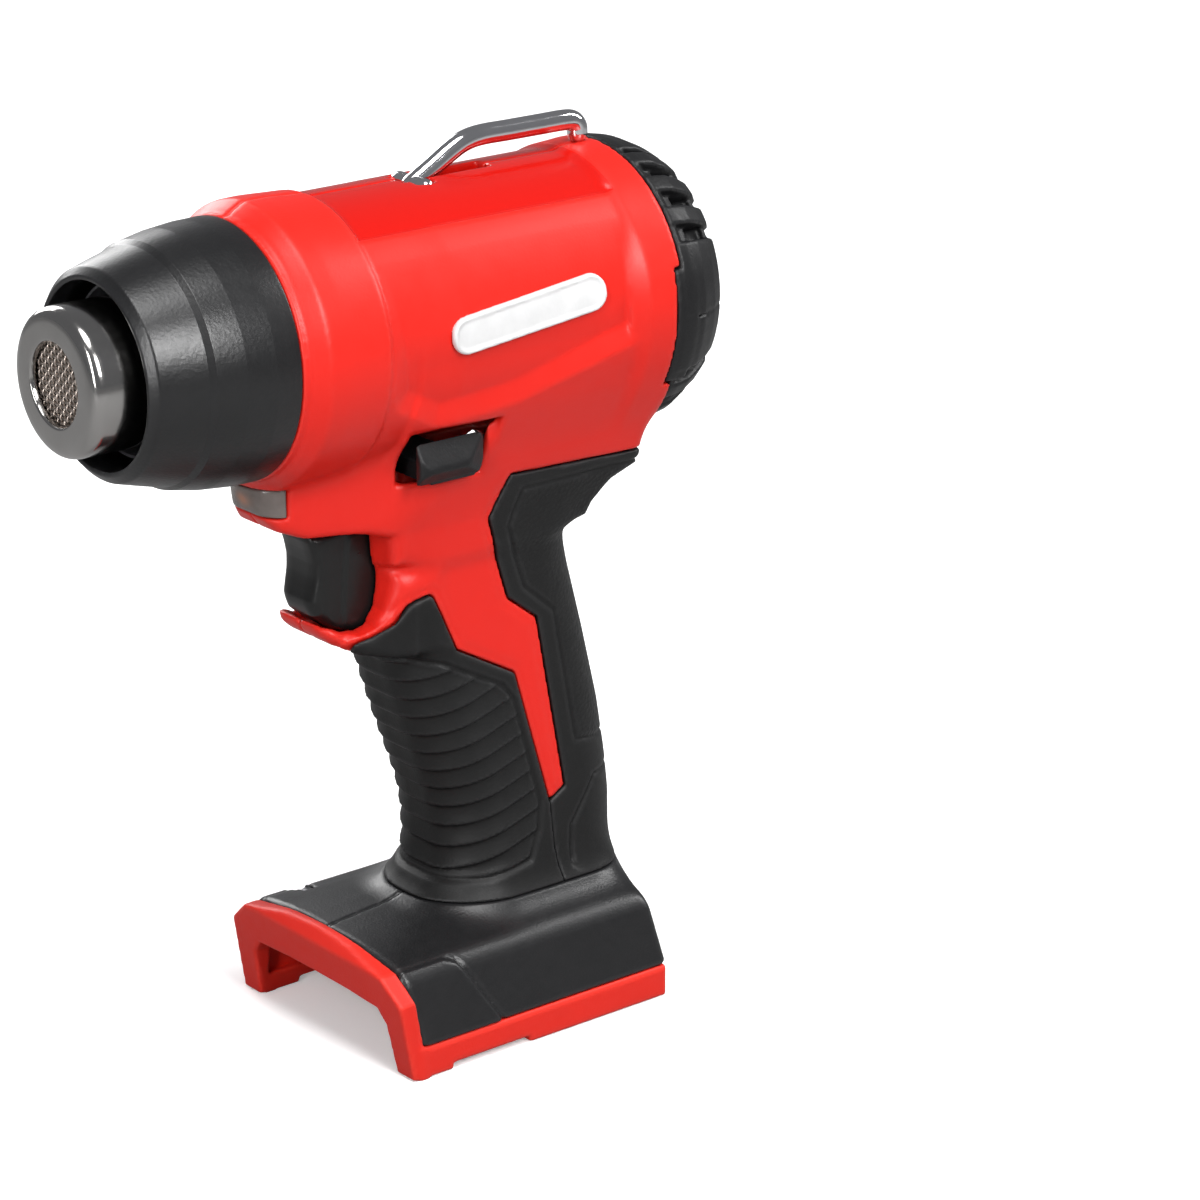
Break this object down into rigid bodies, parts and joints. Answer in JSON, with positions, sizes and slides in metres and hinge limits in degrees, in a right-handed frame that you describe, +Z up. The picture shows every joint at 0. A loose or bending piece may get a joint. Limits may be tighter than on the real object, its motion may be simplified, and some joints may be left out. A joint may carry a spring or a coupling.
{
  "type": "heat gun",
  "caption": "Compact pistol grip battery heat gun with a chrome outlet tube behind a black guard, a sprung trigger, a sliding lock, a fold-up wire hook and a slide-on battery foot, shown without its battery",
  "frame": {"origin": "middle of the battery foot on the plane it rests on, in the mirror plane of the gun", "axes": "+X is the way the air blows, +Y is the gun's left side, +Z is up"},
  "size_m": [0.1621, 0.0684, 0.2099],
  "materials": {
    "red_shell": "glass-filled nylon, satin red with a fine grain",
    "red_foot": "glass-filled nylon, satin red",
    "guard_black": "heat-resistant plastic, satin black with a fine grain",
    "outlet_chrome": "polished stainless steel",
    "mesh_steel": "woven wire, slightly heat-tinted",
    "sheet_steel": "plain sheet steel",
    "mica": "mica board, slightly glossy",
    "coil_wire": "resistance wire, oxidised",
    "inner_plastic": "moulded black plastic",
    "cap_black": "satin black plastic",
    "circuit_board": "green lacquered board",
    "smoky_lens": "smoky clear plastic",
    "led_white": "white board with a clear lamp",
    "control_black": "smooth satin black plastic",
    "grip_rubber": "soft overmoulded rubber with ribs and fine pebbling",
    "base_black": "textured black plastic",
    "contact_brass": "tinned brass",
    "hook_chrome": "bright plated steel wire",
    "screw_black": "black oxide steel",
    "badge_white": "plain white plate",
    "lead_red": "silicone-covered wire"
  },
  "bodies": {
    "frame": {"housing_left": "red_shell", "housing_right": "red_shell", "nozzle_guard": "guard_black", "nozzle_tube": "outlet_chrome", "nozzle_mesh": "mesh_steel", "heat_shield": "sheet_steel", "mica_sleeve": "mica", "heater_core": "mica", "heating_coil": "coil_wire", "thermal_cutout": "sheet_steel", "fan_duct": "inner_plastic", "motor": "sheet_steel", "rear_cap": "cap_black", "intake_screen": "mesh_steel", "control_board": "circuit_board", "led_lens": "smoky_lens", "led_board": "led_white", "trigger_switch": "inner_plastic", "trigger_spring": "sheet_steel", "grip_front_left": "grip_rubber", "grip_front_right": "grip_rubber", "grip_rear_left": "grip_rubber", "grip_rear_right": "grip_rubber", "base_left": "base_black", "base_right": "base_black", "battery_foot": "red_foot", "terminal_block": "inner_plastic", "terminal_blades": "contact_brass", "housing_screws": "screw_black", "foot_screws": "screw_black", "badge_left": "badge_white", "badge_right": "badge_white", "power_leads": "lead_red"},
    "fan": {"motor_shaft": "sheet_steel", "fan_wheel": "inner_plastic"},
    "trigger": {"trigger": "control_black"},
    "lock": {"lock_button": "control_black"},
    "hook": {"hang_hook": "hook_chrome"}
  },
  "joints": [
    {"name": "fan_spin", "type": "hinge", "parent": "frame", "child": "fan", "pos_m": [-0.02, 0, 0.17], "axis": [1, 0, 0], "continuous": true},
    {"name": "trigger_pull", "type": "slide", "parent": "frame", "child": "trigger", "axis": [-1, 0, 0], "range_m": [0, 0.006], "stiffness_N_per_m": 600, "springref_m": -0.003, "deforming": ["trigger_spring"]},
    {"name": "lock_slide", "type": "slide", "parent": "frame", "child": "lock", "axis": [0, -1, 0], "range_m": [0, 0.007]},
    {"name": "hook_swing", "type": "hinge", "parent": "frame", "child": "hook", "pos_m": [0.009, 0, 0.1988], "axis": [0, 1, 0], "range_deg": [0, 100]}
  ]
}
